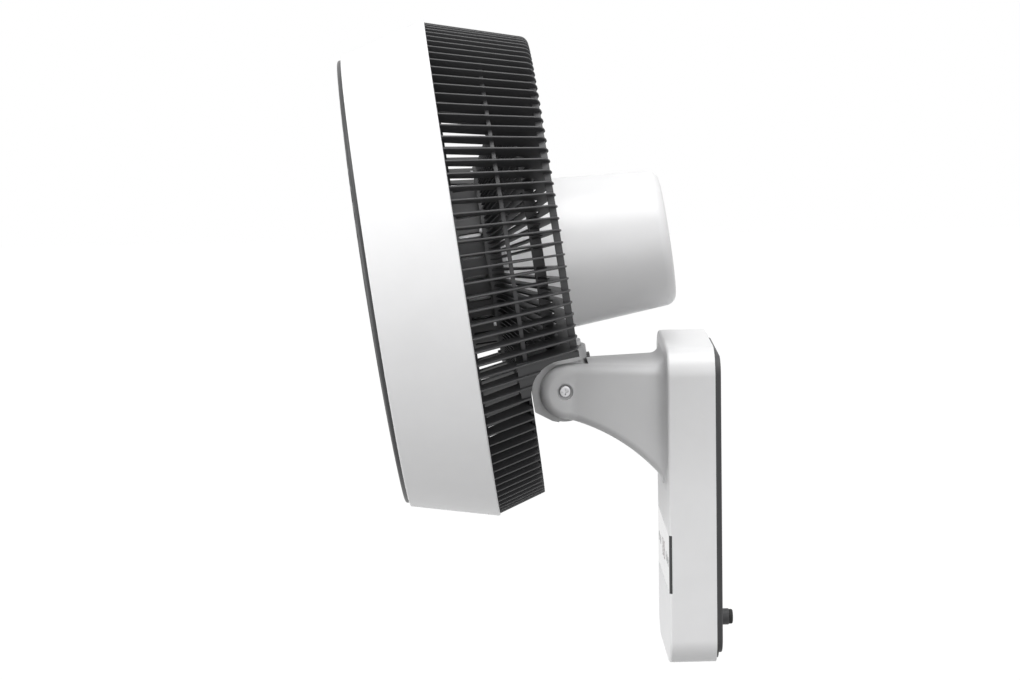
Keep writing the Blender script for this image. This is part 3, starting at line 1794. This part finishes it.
@dataclass
class Studio:
    """A pale floor, soft light from above and in front, and a camera at the photograph's angle."""

    azimuth: float = math.radians(1.582)
    elevation: float = math.radians(9.299)
    roll: float = math.radians(0.957)
    distance: float = 2.6397
    lens: float = 128.93
    sensor: float = 36.0
    near: float = 0.05
    far: float = 50.0
    target: Point = (0.0, -0.148374, 0.116603)
    floor_height: float = -0.62
    floor_half: float = 6.0
    floor_shade: float = 0.36
    floor_strength: float = 1.16
    floor_whiteness: float = 0.86
    sky: float = 0.50
    ground: float = 0.05
    horizon: tuple[float, float] = (-0.9, 0.8)
    aim: Point = (0, -0.15, 0.1)
    lamps: tuple[Lamp, ...] = (
        Lamp("soft_key", (0.6, 0.1, 2.1), 1.6, 36.0),
        Lamp("front_fill", (1.0, -2.3, 0.3), 1.4, 30.0),
        Lamp("side_fill", (2.2, 0.6, 0.5), 1.4, 7.0),
    )

    def camera(self) -> None:
        """Makes the camera."""
        level = math.cos(self.elevation)
        back = Vector((level * math.cos(self.azimuth), -level * math.sin(self.azimuth),
                       math.sin(self.elevation)))
        right = (-back).cross(Vector((0, 0, 1))).normalized()
        up = right.cross(-back)
        rolled_right = right * math.cos(self.roll) - up * math.sin(self.roll)
        rolled_up = right * math.sin(self.roll) + up * math.cos(self.roll)
        data = bpy.data.cameras.new("camera")
        data.lens = self.lens
        data.sensor_width = self.sensor
        data.clip_start = self.near
        data.clip_end = self.far
        camera = bpy.data.objects.new("camera", data)
        bpy.context.scene.collection.objects.link(camera)
        turned = Matrix((rolled_right, rolled_up, back)).transposed().to_4x4()
        place = Vector(self.target) + back * self.distance
        camera.matrix_world = Matrix.Translation(place) @ turned
        bpy.context.scene.camera = camera

    def world(self) -> None:
        """Makes a world that looks white, also in reflections, and lights softly from above."""
        world = bpy.data.worlds.new("studio")
        world.use_nodes = True
        world.node_tree.nodes.clear()
        graph = Graph(world.node_tree)
        direction = graph.add("ShaderNodeTexCoord")["Generated"]
        height = graph.add("ShaderNodeSeparateXYZ", values={0: direction})[2]
        sky = graph.blend(height.ramp(*self.horizon), (self.ground,) * 3, (self.sky,) * 3)
        light, white = (graph.add("ShaderNodeBackground", values={"Color": colour})[0]
                        for colour in (sky, WHITE_LIGHT))
        values = {0: graph.plain_sight(), 1: light, 2: white}
        mixed = graph.add("ShaderNodeMixShader", values=values)[0]
        graph.add("ShaderNodeOutputWorld", values={"Surface": mixed})
        bpy.context.scene.world = world

    def floor(self) -> None:
        """Makes the floor, which looks white but throws back only part of the light."""
        shape = bmesh.new()
        bmesh.ops.create_grid(shape, x_segments=1, y_segments=1, size=self.floor_half)
        mesh = bpy.data.meshes.new("floor")
        shape.to_mesh(mesh)
        shape.free()
        mesh.transform(Matrix.Translation((0, 0, self.floor_height)))
        floor = linked("floor", mesh, weighted=False)
        paint = Paint("pale_floor")
        grey = (self.floor_shade,) * 3 + (1,)
        matt = paint.add("ShaderNodeBsdfDiffuse", values={"Color": grey})[0]
        white = paint.add("ShaderNodeEmission",
                          values={"Color": WHITE_LIGHT, "Strength": self.floor_strength})[0]
        seen = paint.plain_sight() * self.floor_whiteness
        mixed = paint.add("ShaderNodeMixShader", values={0: seen, 1: matt, 2: white})[0]
        paint.add("ShaderNodeOutputMaterial", values={"Surface": mixed})
        mesh.materials.append(paint.material)

    def build(self) -> None:
        """Makes the whole studio."""
        self.camera()
        self.world()
        self.floor()
        for lamp in self.lamps:
            lamp.light(self.aim)
        bpy.context.scene.view_settings.view_transform = "Standard"


# ---------------------------------------------------------------- the whole fan


def paint_nodes() -> None:
    """Gives every carried node the finish of its slot."""
    slots = {row["node"]: row["material_slot"] for row in frame["record"]["subparts"]}
    finishes = {finish.slot: finish for finish in NODE_FINISHES}
    for name, node in frame["nodes"].items():
        node.data.materials.clear()
        node.data.materials.append(material_of(finishes[slots[name]]))


def main() -> None:
    """Builds the fan's pieces in order, then the studio."""
    logging.basicConfig(level=logging.INFO, format="%(name)s: %(message)s")
    head, pivot, wall = head_station(), pivot_station(), wall_station()
    arm = wall.moved_to(pivot.origin)
    paint_nodes()
    for piece in (Shroud(head), FrontGrille(head), RearCage(head, pivot),
                  MotorHousing(head, pivot), MotorCover(head), Impeller(head), ArmFlare(arm),
                  ControlMarks(wall), CordInlet(wall), BackScrews(wall)):
        piece.build()
    for node, finish, body, bevel in SKINS:
        fitted(shell_copy(node, bevel), finish, body, node)
    Studio().build()


if __name__ == "__main__":
    main()
